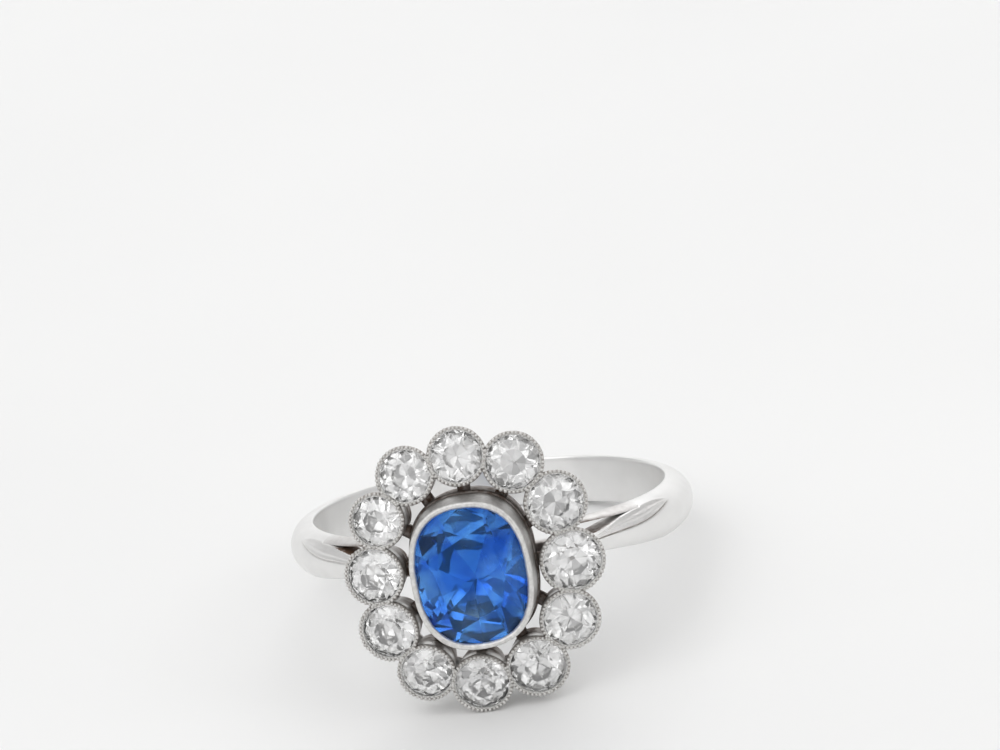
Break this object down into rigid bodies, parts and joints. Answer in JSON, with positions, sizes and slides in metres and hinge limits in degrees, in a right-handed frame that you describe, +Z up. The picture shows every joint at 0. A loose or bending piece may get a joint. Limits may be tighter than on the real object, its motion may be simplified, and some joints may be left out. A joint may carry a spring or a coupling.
{
  "type": "cluster ring",
  "caption": "Finger ring lying on its side, with a cushion-shaped blue stone in a raised rub-over collet, a halo of round white stones and pierced, carved shoulders.",
  "frame": {"origin": "on the floor under the middle of the ring's box, as it lies on its side", "axes": "-Y the way the head faces, +Y towards the back of the shank, +Z up from the floor, +X to the right seen from the head"},
  "size_m": [0.0196, 0.0226, 0.0133],
  "materials": {
    "platinum": "polished",
    "blue_stone": "polished",
    "white_stone": "polished"
  },
  "bodies": {
    "root": {"setting": "platinum", "sapphire": "blue_stone", "diamond_01": "white_stone", "diamond_02": "white_stone", "diamond_03": "white_stone", "diamond_04": "white_stone", "diamond_05": "white_stone", "diamond_06": "white_stone", "diamond_07": "white_stone", "diamond_08": "white_stone", "diamond_09": "white_stone", "diamond_10": "white_stone", "diamond_11": "white_stone", "diamond_12": "white_stone"}
  },
  "joints": []
}
